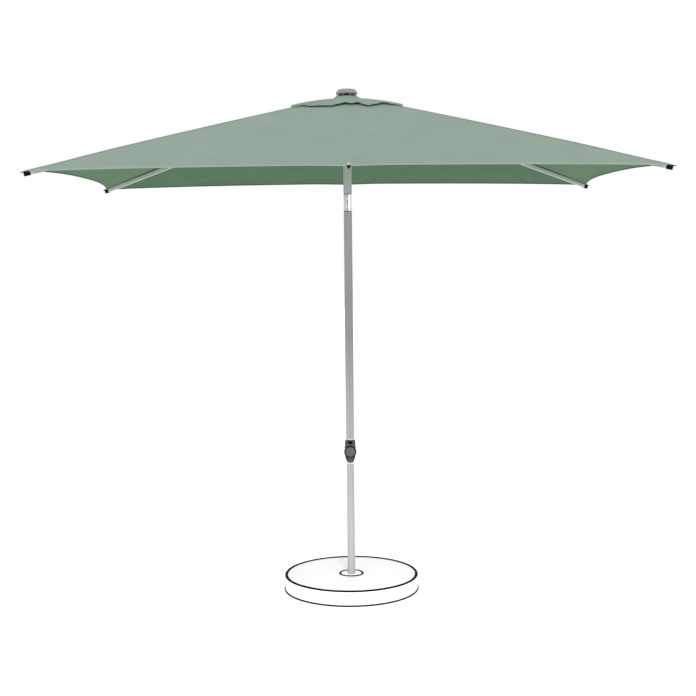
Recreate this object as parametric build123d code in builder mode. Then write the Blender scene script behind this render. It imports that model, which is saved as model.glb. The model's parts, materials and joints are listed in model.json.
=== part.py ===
from build123d import *
import math
import os

# Rectangular market umbrella, 3.0 m x 2.0 m, with a tilting pole and a round ballast base.
# The origin is the centre of the base's underside, the pole stands on +Z, and the long side lies along X.
# The model is drawn with the canopy open. All sizes are in millimetres.

# ---- canopy plan and pitch
canopy_length = 3000.0          # rib tip to rib tip along X
canopy_width = 2000.0           # rib tip to rib tip along Y
apex_z = 2687.0                 # height where the four fabric planes would meet
canopy_fall = 442.4             # drop from the apex to the rib tips
fabric_thickness = 1.5
fabric_corner_share = 0.962     # how far along the diagonal the fabric's corner reaches
long_hem_inset = 68.0           # middle of the long hem, measured in from the line of the tips
short_hem_inset = 75.0          # middle of the short hem
vent_share = 0.14               # size of the vent opening, as a share of the canopy

# ---- ribs, struts, hub and runner
rib_width = 14.0
rib_height = 22.0
rib_wall = 1.5
rib_round = 3.0
rib_plug_length = 34.0
bracket_length = 40.0
cap_length = 22.0
strut_tube_start = 24.0         # the strut's tube starts this far from each eye
strut_tongue = 32.0
rib_gap = 4.0                   # between the fabric's underside and the rib
pivot_drop = 23.0               # pivot line below the rib's centreline
pivot_radius = 55.0             # hub and runner pivots, from the pole's axis
rib_start = 18.0                # start of the rib tube, from the hub pivot
bracket_reach = 600.0           # hub pivot to strut bracket, and also the strut's length
strut_size = 14.0
strut_wall = 1.2
tongue_half = 4.8               # half thickness of the tongues that turn between ears
ear_inner = 5.4                 # ears stand this far from the middle of a tongue
ear_outer = 9.4
ear_radius = 8.5
eye_radius = 7.0
pin_radius = 3.0
pin_seat = 3.02                 # hole that holds a pin still
pin_running = 3.08              # hole that turns on a pin

# ---- poles
lower_pole_radius = 21.0
lower_pole_wall = 1.8
lower_pole_top = 1300.0
upper_pole_radius = 22.5
upper_pole_wall = 1.1
canopy_pole_wall = 1.5
collar_bore = 22.62

# ---- tilt joint
tilt_z = 2117.0
knuckle_low = 2073.0
knuckle_high = 2161.0
groove = 4.0                    # dark groove between the knuckle and each tube
groove_radius = 20.6
plug_length = 60.0
cheek_radius = 38.0
cheek_clear = 1.2
cheek_gap = 1.0                 # from the middle plane to each cheek
boss_gap = 0.2                  # from the middle plane to each cheek's boss
boss_radius = 14.0
tilt_boss_height = 4.0
tilt_pin_radius = 6.0
tilt_pin_half = 21.3
button_radius = 4.0
button_bore = 4.1
button_start = 6.0
button_length = 15.2
button_chamfer = 0.5
button_hole = 29.3              # depth of the pin's bore for the button and its spring
tilt_spring_start = 7.2
tilt_spring_length = 12.4

# ---- clamp collar and knob
collar_low = 704.0
collar_high = 830.0
tube_seat_z = 790.0
knob_z = 769.0
knob_radius = 34.0
knob_near = 41.0                # the knob's back and front faces, in front of the pole's axis
knob_far = 60.0
knob_face_radius = 24.0
knob_face_depth = 1.5
flute_count = 12
flute_radius = 9.0
flute_centre = 41.0             # from the knob's axis
clamp_boss_radius = 18.0
boss_face = 38.0
boss_depth = 14.0
hood_outer = 39.5
hood_inner = 36.0
hood_front = 46.0
hood_back = 26.0
hood_root = 14.0
hood_floor = 18.0               # the hood starts this far below its circle's top
collar_cut = 60.0
window_high = 823.0             # dark window over the hood
window_low = 810.0
window_top = 9.0
window_foot = 13.0
window_floor = 24.6
recess_floor = 24.2             # small recess in the tongue
recess_up = 17.0
recess_width = 19.0
recess_height = 8.0
recess_reach = 8.0
nut_radius = 9.0
nut_depth = 7.0
screw_radius = 4.9
screw_start = 27.4
screw_length = 28.0
pivot_tip_radius = 3.0
pivot_tip_start = 24.9
pad_radius = 7.9
pad_bore = 8.2
pad_back = 20.0
pad_length = 7.0
press = 0.02                    # radial clearance of parts that stay together
running = 0.08                  # radial clearance of parts that turn

# ---- runner, catch, hub and finial
runner_half = 17.0
runner_bore = 23.3
runner_body = 38.0
runner_lip = 42.0
ear_root = 19.0                 # ears start this far inside the pivots
catch_height = 16.0
catch_drop = 0.7                # the catch's top, below the runner
catch_width = 8.0
catch_block_width = 13.0
catch_block_height = 22.0
catch_block_start = 6.0
catch_block_length = 7.0
catch_nose = 9.0
catch_chamfer = 4.0
catch_spring_start = -19.9
catch_spring_length = 25.2
pole_end = 2654.0
hub_low = 2598.0
hub_shoulder = 2655.0
hub_body = 40.0
hub_flange = 50.0
hub_flange_low = 2673.0
hub_top = 2679.0
finial_stem = 10.0
finial_stem_low = 2660.0
finial_disc = 56.0
finial_disc_low = 2681.0
finial_disc_high = 2685.0
finial_post_radius = 3.2
finial_post_circle = 46.0
finial_post_count = 8
finial_core = 9.0
finial_gap = 9.0                # open gap between the disc and the cap
cap_low = 2694.1
cap_high = 2719.0

# ---- base
base_radius = 366.5
base_height = 82.0
bead_width = 16.0               # rubber beads round the top and bottom edges
bead_top = 4.0
bead_low = 6.0
bead_round = 1.6
cover_wall = 2.3
cover_step = 1.0                # the cover's side stands this far inside the beads
cover_low = 79.5                # underside of the cover's top
cover_high = 81.7
seat_gap = 0.2
plate_low = 1.0
plate_high = 4.0
ballast_low = 4.2
ballast_high = 79.2
ballast_chamfer = 1.5
socket_radius = 27.0
socket_bore = 21.08
ring_radius = 57.0
ring_proud = 1.4
seal_outer = 67.5
seal_flange = 2.5
seal_proud = 1.8
foot_height = 10.0
foot_plug = 26.0

# ---- derived values
half_diagonal = math.hypot(canopy_length, canopy_width) / 2
rib_azimuth = math.degrees(math.atan2(canopy_width, canopy_length))
rib_azimuths = [rib_azimuth, 180 - rib_azimuth, 180 + rib_azimuth, 360 - rib_azimuth]
pitch = math.atan2(canopy_fall, half_diagonal)
rib_depth = fabric_thickness + rib_gap + rib_height / 2 + pivot_drop
hub_pivot_z = apex_z - rib_depth / math.cos(pitch) - pivot_radius * math.tan(pitch)
runner_pivot_z = hub_pivot_z - 2 * bracket_reach * math.sin(pitch)

os.makedirs("parts", exist_ok=True)


def save(piece, name):
    """Label a finished piece and write it to its own STEP file."""
    piece.part.label = name
    export_step(piece.part, f"parts/{name}.step")


def radial(azimuth):
    """Unit vector that points outward from the pole at this azimuth."""
    angle = math.radians(azimuth)
    return Vector(math.cos(angle), math.sin(angle), 0)


def tangent(azimuth):
    """Unit vector across a rib, which is also the direction of its pins."""
    angle = math.radians(azimuth)
    return Vector(-math.sin(angle), math.cos(angle), 0)


def side_plane(azimuth, height, slope):
    """Upright plane through a pivot: x runs outward at this slope, y is its upper normal."""
    along = radial(azimuth) * math.cos(slope) + Vector(0, 0, math.sin(slope))
    origin = radial(azimuth) * pivot_radius + Vector(0, 0, height)
    return Plane(origin=origin, x_dir=along, z_dir=tangent(azimuth) * -1)


def cross_plane(side, along, up):
    """Plane square to a side plane's x axis, at this place along and up it."""
    origin = side.origin + side.x_dir * along + side.y_dir * up
    return Plane(origin=origin, x_dir=side.z_dir, z_dir=side.x_dir)


def tube_profile(outer, inner, low, high):
    """Half section of a plain tube or ring, for a revolve about the pole's axis."""
    with Locations(((outer + inner) / 2, (low + high) / 2)):
        Rectangle(outer - inner, high - low)


def ears(plane, reach_in, spacing):
    """Two ears that carry a pin at the plane's origin, as far in as reach_in along -x."""
    for side in (1, -1):
        with BuildSketch(plane.offset(side * (spacing + (ear_outer - ear_inner) / 2))) as ear:
            with Locations((-reach_in / 2, 0)):
                Rectangle(reach_in, 2 * ear_radius)
            Circle(ear_radius)
        extrude(ear.sketch, amount=(ear_outer - ear_inner) / 2, both=True)


def cross_hole(plane, radius):
    """Hole across everything at the plane's origin."""
    with BuildSketch(plane) as hole:
        Circle(radius)
    extrude(hole.sketch, amount=ear_outer + 4, both=True, mode=Mode.SUBTRACT)


# =============================== base ===============================
bead_inner = base_radius - bead_width
core_radius = bead_inner - seat_gap - cover_wall
side_outer = base_radius - cover_step
side_low = bead_low + seat_gap
side_high = base_height - bead_top - seat_gap

with BuildPart() as base_cover:
    with BuildSketch(Plane.XZ):
        with BuildLine():
            Polyline(
                (seal_outer - seal_flange, cover_low),
                (core_radius, cover_low),
                (core_radius, side_high - cover_wall),
                (side_outer - cover_wall, side_high - cover_wall),
                (side_outer - cover_wall, side_low),
                (side_outer, side_low),
                (side_outer, side_high),
                (bead_inner - seat_gap, side_high),
                (bead_inner - seat_gap, cover_high),
                (seal_outer - seal_flange, cover_high),
                close=True,
            )
        make_face()
    revolve(axis=Axis.Z)
save(base_cover, "base_cover")

with BuildPart() as base_ballast:
    with BuildSketch(Plane.XZ):
        tube_profile(core_radius - 0.6, socket_radius + 0.5, ballast_low, ballast_high)
    revolve(axis=Axis.Z)
    chamfer(base_ballast.edges().group_by(Axis.Z)[-1], ballast_chamfer)
save(base_ballast, "base_ballast")

with BuildPart() as base_plate:
    with BuildSketch(Plane.XY.offset(plate_low)):
        Circle(core_radius - 0.4)
    extrude(amount=plate_high - plate_low)
save(base_plate, "base_plate")

with BuildPart() as base_rims:
    for low, height in ((0, bead_low), (base_height - bead_top, bead_top)):
        with BuildSketch(Plane.XZ):
            with Locations((base_radius - bead_width / 2, low + height / 2)):
                RectangleRounded(bead_width, height, bead_round)
        revolve(axis=Axis.Z)
save(base_rims, "base_rims")

with BuildPart() as socket_tube:
    with BuildSketch(Plane.XZ):
        tube_profile(socket_radius, socket_bore, plate_high + seat_gap, ballast_high - 2 * seat_gap)
    revolve(axis=Axis.Z)
save(socket_tube, "socket_tube")

with BuildPart() as cover_ring:
    with BuildSketch(Plane.XZ):
        tube_profile(ring_radius, lower_pole_radius + 0.5, ballast_high, base_height + ring_proud)
    revolve(axis=Axis.Z)
    fillet(cover_ring.edges().group_by(Axis.Z)[-1], 0.8)
save(cover_ring, "cover_ring")

with BuildPart() as cover_seal:
    with BuildSketch(Plane.XZ):
        tube_profile(seal_outer - seal_flange - 0.3, ring_radius + 0.1, cover_low, base_height)
        tube_profile(seal_outer, ring_radius + 0.1, cover_high + 0.1, base_height + seal_proud)
    revolve(axis=Axis.Z)
save(cover_seal, "cover_seal")

# =============================== lower pole ===============================
with BuildPart() as lower_pole:
    with BuildSketch(Plane.XZ):
        tube_profile(lower_pole_radius, lower_pole_radius - lower_pole_wall, foot_height, lower_pole_top)
    revolve(axis=Axis.Z)
save(lower_pole, "lower_pole")

with BuildPart() as pole_foot:
    with BuildSketch(Plane.XY.offset(plate_high + 2 * seat_gap)):
        Circle(lower_pole_radius - 0.1)
    extrude(amount=foot_height - plate_high - 2 * seat_gap)
    with BuildSketch(Plane.XY.offset(foot_height)):
        Circle(lower_pole_radius - lower_pole_wall - 0.1)
    extrude(amount=foot_plug)
save(pole_foot, "pole_foot")

# =============================== upper pole and clamp collar ===============================
with BuildPart() as upper_pole:
    with BuildSketch(Plane.XZ):
        tube_profile(upper_pole_radius, upper_pole_radius - upper_pole_wall, tube_seat_z, knuckle_low - groove)
    revolve(axis=Axis.Z)
save(upper_pole, "upper_pole")

with BuildPart() as clamp_collar:
    with BuildSketch(Plane.XZ):
        with BuildLine():
            Polyline(
                (collar_bore, collar_low),
                (25.0, collar_low),
                (27.5, collar_low + 22),
                (29.5, collar_low + 60),
                (29.0, collar_low + 92),
                (27.5, collar_high - 4),
                (25.5, collar_high),
                (collar_bore, collar_high),
                close=True,
            )
        make_face()
    revolve(axis=Axis.Z)
    # the front view is a shield: a rounded tongue below and two ears above
    with BuildSketch(Plane.XZ):
        with BuildLine():
            Polyline((-30, collar_low + 52), (-30, collar_high - 12), (-22, collar_high), (-9, collar_high))
            Polyline((-9, collar_high), (-9, collar_high - 3.5), (9, collar_high - 5), (9, collar_high))
            Polyline((9, collar_high), (22, collar_high), (30, collar_high - 12), (30, collar_low + 52))
            Spline((30, collar_low + 52), (25.5, collar_low + 22), (12, collar_low))
            Line((12, collar_low), (-12, collar_low))
            Spline((-12, collar_low), (-25.5, collar_low + 22), (-30, collar_low + 52))
        make_face()
    extrude(amount=collar_cut, both=True, mode=Mode.INTERSECT)
    # boss that holds the clamp nut, and the hood round the top of the knob
    with BuildSketch(Plane.XZ.offset(boss_face)):
        with Locations((0, knob_z)):
            Circle(clamp_boss_radius)
    extrude(amount=-boss_depth)
    # the hood is narrower at its root, where it meets the collar
    for start, end, below in ((hood_back, hood_front, hood_floor), (hood_root, hood_back + 2, hood_floor - 5)):
        with BuildSketch(Plane.XZ.offset(start)):
            with Locations((0, knob_z)):
                Circle(hood_outer)
                Circle(hood_inner, mode=Mode.SUBTRACT)
            with Locations((0, knob_z - below)):
                Rectangle(2.5 * hood_outer, 2 * hood_outer, mode=Mode.SUBTRACT)
        extrude(amount=end - start)
    # bore for the tube and bush
    with BuildSketch(Plane.XY.offset(collar_low - 10)):
        Circle(collar_bore)
    extrude(amount=collar_high - collar_low + 20, mode=Mode.SUBTRACT)
    # nut seat and pad chamber
    with BuildSketch(Plane.XZ.offset(boss_face)):
        with Locations((0, knob_z)):
            Circle(nut_radius + press)
    extrude(amount=-nut_depth, mode=Mode.SUBTRACT)
    with BuildSketch(Plane.XZ.offset(boss_face)):
        with Locations((0, knob_z)):
            Circle(pad_bore)
    extrude(amount=-pad_back, mode=Mode.SUBTRACT)
    # dark window above the knob and the small recess below it
    with BuildSketch(Plane.XZ.offset(window_floor)):
        with BuildLine():
            Polyline(
                (-window_top, window_high),
                (window_top, window_high),
                (window_foot, window_low),
                (-window_foot, window_low),
                close=True,
            )
        make_face()
    extrude(amount=recess_reach, mode=Mode.SUBTRACT)
    with BuildSketch(Plane.XZ.offset(recess_floor)):
        with Locations((0, collar_low + recess_up)):
            RectangleRounded(recess_width, recess_height, 2)
    extrude(amount=recess_reach, mode=Mode.SUBTRACT)
save(clamp_collar, "clamp_collar")

with BuildPart() as clamp_ring:
    with BuildSketch(Plane.XZ):
        tube_profile(24.2, collar_bore, collar_high + 0.1, collar_high + 5)
    revolve(axis=Axis.Z)
save(clamp_ring, "clamp_ring")

with BuildPart() as collar_bush:
    with BuildSketch(Plane.XZ):
        tube_profile(collar_bore - 0.02, lower_pole_radius + 0.3, collar_low - 6, tube_seat_z - 0.2)
    revolve(axis=Axis.Z)
    with BuildSketch(Plane.XZ):
        with Locations((0, knob_z)):
            Circle(pad_bore + 0.1)
    extrude(amount=30, mode=Mode.SUBTRACT)
save(collar_bush, "collar_bush")

with BuildPart() as clamp_nut:
    with BuildSketch(Plane.XZ.offset(boss_face)):
        with Locations((0, knob_z)):
            Circle(nut_radius)
            Circle(screw_radius + 0.06, mode=Mode.SUBTRACT)
    extrude(amount=-nut_depth)
save(clamp_nut, "clamp_nut")

# ---- pressure pad, screw and knob
with BuildPart() as clamp_pad:
    with BuildSketch(Plane.XZ.offset(pad_back)):
        with Locations((0, knob_z)):
            Circle(pad_radius)
    extrude(amount=pad_length)
    with BuildSketch(Plane.XY.offset(knob_z)):
        Circle(lower_pole_radius + 0.3)
    extrude(amount=pad_bore * 2, both=True, mode=Mode.SUBTRACT)
    with BuildSketch(Plane.XZ.offset(pivot_tip_start - 0.4)):
        with Locations((0, knob_z)):
            Circle(pivot_tip_radius + running)
    extrude(amount=pad_length, mode=Mode.SUBTRACT)
save(clamp_pad, "clamp_pad")

with BuildPart() as clamp_screw:
    with BuildSketch(Plane.XZ.offset(pivot_tip_start)):
        with Locations((0, knob_z)):
            Circle(pivot_tip_radius)
    extrude(amount=screw_start - pivot_tip_start + 0.5)
    with BuildSketch(Plane.XZ.offset(screw_start)):
        with Locations((0, knob_z)):
            Circle(screw_radius)
    extrude(amount=screw_length)
save(clamp_screw, "clamp_screw")

with BuildPart() as clamp_knob:
    with BuildSketch(Plane.XZ.offset(knob_near)):
        with Locations((0, knob_z)):
            Circle(knob_radius)
    extrude(amount=knob_far - knob_near)
    front_edge = clamp_knob.edges().group_by(Axis.Y)[0]
    fillet(front_edge, 4)
    fillet(clamp_knob.edges().group_by(Axis.Y)[-1], 2)
    # shallow face recess, finger flutes round the rim and the bore for the screw
    with BuildSketch(Plane.XZ.offset(knob_far - knob_face_depth)):
        with Locations((0, knob_z)):
            Circle(knob_face_radius)
    extrude(amount=2 * knob_face_depth, mode=Mode.SUBTRACT)
    with BuildSketch(Plane.XZ.offset(knob_near)):
        with Locations((0, knob_z)):
            with PolarLocations(flute_centre, flute_count):
                Circle(flute_radius)
    extrude(amount=2 * (knob_far - knob_near), mode=Mode.SUBTRACT)
    with BuildSketch(Plane.XZ.offset(knob_near)):
        with Locations((0, knob_z)):
            Circle(screw_radius + press)
    extrude(amount=screw_start + screw_length + 0.1 - knob_near, mode=Mode.SUBTRACT)
save(clamp_knob, "clamp_knob")

# =============================== tilt joint ===============================
def knuckle(side, upward):
    """One half of the tilt joint: a cheek on one side, and a plug that goes into its tube."""
    end = knuckle_high if upward else knuckle_low
    step = 1 if upward else -1
    with BuildPart() as half:
        with BuildSketch(Plane.XY.offset(tilt_z)):
            Circle(upper_pole_radius)
        extrude(amount=step * abs(end - tilt_z))
        # the cheek goes past the pivot with a round end
        with BuildSketch(Plane.YZ):
            with Locations((0, tilt_z)):
                Circle(cheek_radius)
        extrude(amount=upper_pole_radius, both=True, mode=Mode.ADD)
        with BuildSketch(Plane.XY.offset(tilt_z)):
            Circle(upper_pole_radius)
        extrude(amount=cheek_radius + 20, both=True, mode=Mode.INTERSECT)
        # the other side is cleared round the pivot for the other half's cheek
        cleared = side * -cheek_radius
        with BuildSketch(Plane.YZ.offset(side * cheek_gap)):
            with Locations((0, tilt_z)):
                Circle(cheek_radius + cheek_clear)
        extrude(amount=cleared, mode=Mode.SUBTRACT)
        with BuildSketch(Plane.YZ.offset(side * cheek_gap)):
            with Locations((0, tilt_z - step * cheek_radius)):
                Rectangle(3 * cheek_radius, 2 * cheek_radius)
        extrude(amount=cleared, mode=Mode.SUBTRACT)
        # a boss keeps the two cheeks apart
        with BuildSketch(Plane.YZ.offset(side * boss_gap)):
            with Locations((0, tilt_z)):
                Circle(boss_radius)
        extrude(amount=side * tilt_boss_height)
        # groove and plug
        with BuildSketch(Plane.XY.offset(end)):
            Circle(groove_radius)
        extrude(amount=step * (groove + plug_length))
        with BuildSketch(Plane.YZ):
            with Locations((0, tilt_z)):
                Circle(pin_hole(side))
        extrude(amount=upper_pole_radius, both=True, mode=Mode.SUBTRACT)
    return half


def pin_hole(side):
    """The lower half, on -X, holds the pin; the upper half, on +X, turns on it."""
    return tilt_pin_radius + (press if side < 0 else running)


tilt_lower_knuckle = knuckle(-1, False)
save(tilt_lower_knuckle, "tilt_lower_knuckle")

tilt_upper_knuckle = knuckle(1, True)
save(tilt_upper_knuckle, "tilt_upper_knuckle")

with BuildPart() as tilt_pin:
    with BuildSketch(Plane.YZ.offset(-tilt_pin_half)):
        with Locations((0, tilt_z)):
            Circle(tilt_pin_radius)
    extrude(amount=2 * tilt_pin_half)
    with BuildSketch(Plane.YZ.offset(tilt_pin_half)):
        with Locations((0, tilt_z)):
            Circle(button_bore)
    extrude(amount=-button_hole, mode=Mode.SUBTRACT)
save(tilt_pin, "tilt_pin")

with BuildPart() as tilt_button:
    with BuildSketch(Plane.YZ.offset(button_start)):
        with Locations((0, tilt_z)):
            Circle(button_radius)
    extrude(amount=button_length)
    chamfer(tilt_button.edges().group_by(Axis.X)[-1], button_chamfer)
save(tilt_button, "tilt_button")


def coil_spring(start, direction, length, radius, wire, turns):
    """Open coil spring along direction."""
    with BuildPart() as spring:
        with BuildLine():
            path = Helix(pitch=length / turns, height=length, radius=radius, center=start, direction=direction)
        with BuildSketch(Plane(origin=path @ 0, z_dir=path % 0)):
            Circle(wire)
        sweep(is_frenet=True)
    return spring


tilt_spring = coil_spring((-tilt_spring_start, 0, tilt_z), (1, 0, 0), tilt_spring_length, 3.1, 0.4, 6)
save(tilt_spring, "tilt_spring")

# =============================== canopy pole, hub and finial ===============================
catch_high = runner_pivot_z - runner_half - catch_drop
catch_low = catch_high - catch_height
catch_middle = (catch_low + catch_high) / 2

with BuildPart() as canopy_pole:
    with BuildSketch(Plane.XZ):
        tube_profile(upper_pole_radius, upper_pole_radius - canopy_pole_wall, knuckle_high + groove, pole_end)
    revolve(axis=Axis.Z)
    with BuildSketch(Plane.XZ):
        with Locations((0, catch_middle)):
            Rectangle(catch_width + 0.8, catch_height + 0.8)
    extrude(amount=-upper_pole_radius - 5, mode=Mode.SUBTRACT)
save(canopy_pole, "canopy_pole")

with BuildPart() as runner_catch:
    with BuildSketch(Plane.XZ.offset(-catch_block_start)):
        with Locations((0, catch_middle)):
            Rectangle(catch_block_width, catch_block_height)
    extrude(amount=-catch_block_length)
    with BuildSketch(Plane.XZ.offset(-catch_block_start - catch_block_length)):
        with Locations((0, catch_middle)):
            Rectangle(catch_width, catch_height)
    extrude(amount=-catch_nose)
    chamfer(runner_catch.edges().group_by(Axis.Y)[-1].sort_by(Axis.Z)[0], catch_chamfer)
save(runner_catch, "runner_catch")

catch_spring = coil_spring((0, catch_spring_start, catch_middle), (0, 1, 0), catch_spring_length, 4.0, 0.5, 8)
save(catch_spring, "catch_spring")

with BuildPart() as hub:
    with BuildSketch(Plane.XZ):
        with BuildLine():
            Polyline(
                (finial_stem + 0.05, hub_shoulder),
                (upper_pole_radius + press, hub_shoulder),
                (upper_pole_radius + press, hub_low),
                (hub_body - 2, hub_low),
                (hub_body, hub_low + 4),
                (hub_body, hub_flange_low - 7),
                (hub_flange, hub_flange_low),
                (hub_flange, hub_top),
                (finial_stem + 0.05, hub_top),
                close=True,
            )
        make_face()
    revolve(axis=Axis.Z)
    for azimuth in rib_azimuths:
        level = side_plane(azimuth, hub_pivot_z, 0)
        ears(level, ear_root, ear_inner)
        cross_hole(level, pin_seat)
save(hub, "hub")

with BuildPart() as hub_pins:
    for azimuth in rib_azimuths:
        with BuildSketch(side_plane(azimuth, hub_pivot_z, 0)):
            Circle(pin_radius)
        extrude(amount=ear_outer + 0.6, both=True)
save(hub_pins, "hub_pins")

with BuildPart() as finial_base:
    with BuildSketch(Plane.XY.offset(finial_stem_low)):
        Circle(finial_stem)
    extrude(amount=finial_disc_low + 1 - finial_stem_low)
    with BuildSketch(Plane.XY.offset(finial_disc_low)):
        Circle(finial_disc)
    extrude(amount=finial_disc_high - finial_disc_low)
    with BuildSketch(Plane.XY.offset(finial_disc_high)):
        with PolarLocations(finial_post_circle, finial_post_count, start_angle=22.5):
            Circle(finial_post_radius)
        Circle(finial_core)
    extrude(amount=finial_gap)
save(finial_base, "finial_base")

with BuildPart() as finial_cap:
    with BuildSketch(Plane.XZ):
        with BuildLine():
            Polyline(
                (0, cap_low),
                (57, cap_low),
                (58.5, cap_low + 3),
                (54, cap_high - 11),
                (45, cap_high - 2),
                (41, cap_high),
                (38, cap_high - 0.6),
                (30, cap_high - 2.6),
                (0, cap_high - 2.6),
                close=True,
            )
        make_face()
    revolve(axis=Axis.Z)
save(finial_cap, "finial_cap")

# =============================== vent flap ===============================
flap_half_length = 290.0
flap_half_width = 195.0
flap_low = 2613.0
flap_neck = 87.0
flap_neck_z = 2665.0
flap_cut = 1.7                  # the cloth's thickness, measured upright
flap_top = 2680.8
flap_hole = 24.0
flap_ring = 58.0

with BuildPart() as vent_flap:
    with BuildSketch(Plane.XY.offset(flap_low)):
        Rectangle(2 * flap_half_length, 2 * flap_half_width)
    with BuildSketch(Plane.XY.offset(flap_neck_z)):
        Circle(flap_neck)
    loft()
    with BuildSketch(Plane.XY.offset(flap_low - flap_cut)):
        Rectangle(2 * flap_half_length, 2 * flap_half_width)
    with BuildSketch(Plane.XY.offset(flap_neck_z - flap_cut)):
        Circle(flap_neck)
    loft(mode=Mode.SUBTRACT)
    with BuildSketch(Plane.XY.offset(flap_neck_z - 20)):
        Circle(flap_neck - 1)
    extrude(amount=40, mode=Mode.SUBTRACT)
    with BuildSketch(Plane.XZ):
        with BuildLine():
            Polyline(
                (flap_hole, flap_top - 1.6),
                (flap_ring - 0.4, flap_top - 1.6),
                (flap_neck - 1.2, flap_neck_z - 1.6),
                (flap_neck, flap_neck_z),
                (flap_ring + 0.4, flap_top),
                (flap_hole, flap_top),
                close=True,
            )
        make_face()
    revolve(axis=Axis.Z)
save(vent_flap, "vent_flap")

# =============================== runner ===============================
with BuildPart() as runner:
    with BuildSketch(Plane.XZ):
        with BuildLine():
            Polyline(
                (runner_bore, runner_pivot_z - runner_half),
                (runner_lip, runner_pivot_z - runner_half),
                (runner_lip, runner_pivot_z - runner_half + 5),
                (runner_body, runner_pivot_z - runner_half + 9),
                (runner_body, runner_pivot_z + runner_half - 4),
                (runner_body - 4, runner_pivot_z + runner_half),
                (runner_bore, runner_pivot_z + runner_half),
                close=True,
            )
        make_face()
    revolve(axis=Axis.Z)
    for azimuth in rib_azimuths:
        level = side_plane(azimuth, runner_pivot_z, 0)
        ears(level, ear_root + 2, ear_inner)
        cross_hole(level, pin_seat)
save(runner, "runner")

with BuildPart() as runner_pins:
    for azimuth in rib_azimuths:
        with BuildSketch(side_plane(azimuth, runner_pivot_z, 0)):
            Circle(pin_radius)
        extrude(amount=ear_outer + 0.6, both=True)
save(runner_pins, "runner_pins")

# =============================== ribs ===============================
tip_reach = half_diagonal       # the end lip's distance from the pole's axis
lip_up = pivot_drop + rib_height / 2 - 1.2
tip_along = (tip_reach - pivot_radius - lip_up * math.sin(pitch)) / math.cos(pitch)
lip_length = 14.0
cap_wall = 6.0
rib_end = tip_along - lip_length - cap_wall


def make_rib(azimuth, number):
    """Rib tube with its hub end, strut bracket, bracket pin and end cap."""
    side = side_plane(azimuth, hub_pivot_z, -pitch)
    with BuildPart() as rib:
        with BuildSketch(cross_plane(side, rib_start, pivot_drop)):
            RectangleRounded(rib_width, rib_height, rib_round)
            RectangleRounded(rib_width - 2 * rib_wall, rib_height - 2 * rib_wall, rib_round - rib_wall,
                             mode=Mode.SUBTRACT)
        extrude(amount=rib_end - rib_start)
    save(rib, f"rib_{number}")

    # a moulded arm with an eye at the hub pivot and a plug inside the tube
    plug_half = rib_height / 2 - rib_wall - 0.3
    with BuildPart() as hub_end:
        with BuildSketch(side):
            with BuildLine():
                Polyline(
                    (-eye_radius, 0),
                    (-4, pivot_drop - 6),
                    (rib_start - 6, pivot_drop + plug_half),
                    (rib_start + rib_plug_length, pivot_drop + plug_half),
                    (rib_start + rib_plug_length, pivot_drop - plug_half),
                    (rib_start - 2, pivot_drop - plug_half),
                    (eye_radius, 0),
                    close=True,
                )
            make_face()
            Circle(eye_radius)
            Circle(pin_running, mode=Mode.SUBTRACT)
        extrude(amount=tongue_half, both=True)
    save(hub_end, f"rib_hub_end_{number}")

    with BuildPart() as bracket:
        with BuildSketch(cross_plane(side, bracket_reach - bracket_length / 2, pivot_drop)):
            RectangleRounded(2 * ear_outer, rib_height + 3.0, rib_round + 2.4)
            RectangleRounded(rib_width + 0.1, rib_height + 0.1, rib_round, mode=Mode.SUBTRACT)
        extrude(amount=bracket_length)
        hanging = Plane(
            origin=side.origin + side.x_dir * bracket_reach,
            x_dir=side.y_dir * -1,
            z_dir=side.z_dir,
        )
        ears(hanging, pivot_drop - rib_height / 2 - 1, ear_inner)
        cross_hole(hanging, pin_seat)
    save(bracket, f"rib_bracket_{number}")

    with BuildPart() as bracket_pin:
        with BuildSketch(hanging):
            Circle(pin_radius)
        extrude(amount=ear_outer + 0.1, both=True)
        for end in (1, -1):
            with BuildSketch(hanging.offset(end * (ear_outer + 0.05))):
                Circle(pin_radius + 2)
            extrude(amount=end * 1.6)
    save(bracket_pin, f"bracket_pin_{number}")

    with BuildPart() as tip:
        with BuildSketch(cross_plane(side, rib_end - cap_length, pivot_drop)):
            RectangleRounded(rib_width + 2, rib_height + 2, rib_round + 0.6)
        extrude(amount=cap_length + cap_wall)
        fillet(tip.faces().sort_by(Axis(side.origin, side.x_dir))[-1].edges(), 1.2)
        with BuildSketch(cross_plane(side, rib_end - cap_length, pivot_drop)):
            RectangleRounded(rib_width + 0.1, rib_height + 0.1, rib_round)
        extrude(amount=cap_length + 0.1, mode=Mode.SUBTRACT)
        with BuildSketch(cross_plane(side, rib_end + cap_wall - 3, lip_up)):
            Rectangle(9, 4)
        extrude(amount=lip_length + 3)
    save(tip, f"rib_tip_{number}")


def make_strut(azimuth, number):
    """Square tube with a flat tongue at each end, from the runner up to the rib's bracket."""
    side = side_plane(azimuth, runner_pivot_z, pitch)
    with BuildPart() as strut:
        with BuildSketch(cross_plane(side, strut_tube_start, 0)):
            RectangleRounded(strut_size, strut_size, 3)
            RectangleRounded(strut_size - 2 * strut_wall, strut_size - 2 * strut_wall, 1.8, mode=Mode.SUBTRACT)
        extrude(amount=bracket_reach - 2 * strut_tube_start)
        for eye, inward in ((0, 1), (bracket_reach, -1)):
            with BuildSketch(side):
                with Locations((eye + inward * strut_tongue / 2, 0)):
                    Rectangle(strut_tongue, 2 * eye_radius)
                with Locations((eye, 0)):
                    Circle(eye_radius)
                    Circle(pin_running, mode=Mode.SUBTRACT)
            extrude(amount=tongue_half, both=True)
    save(strut, f"strut_{number}")


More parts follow.
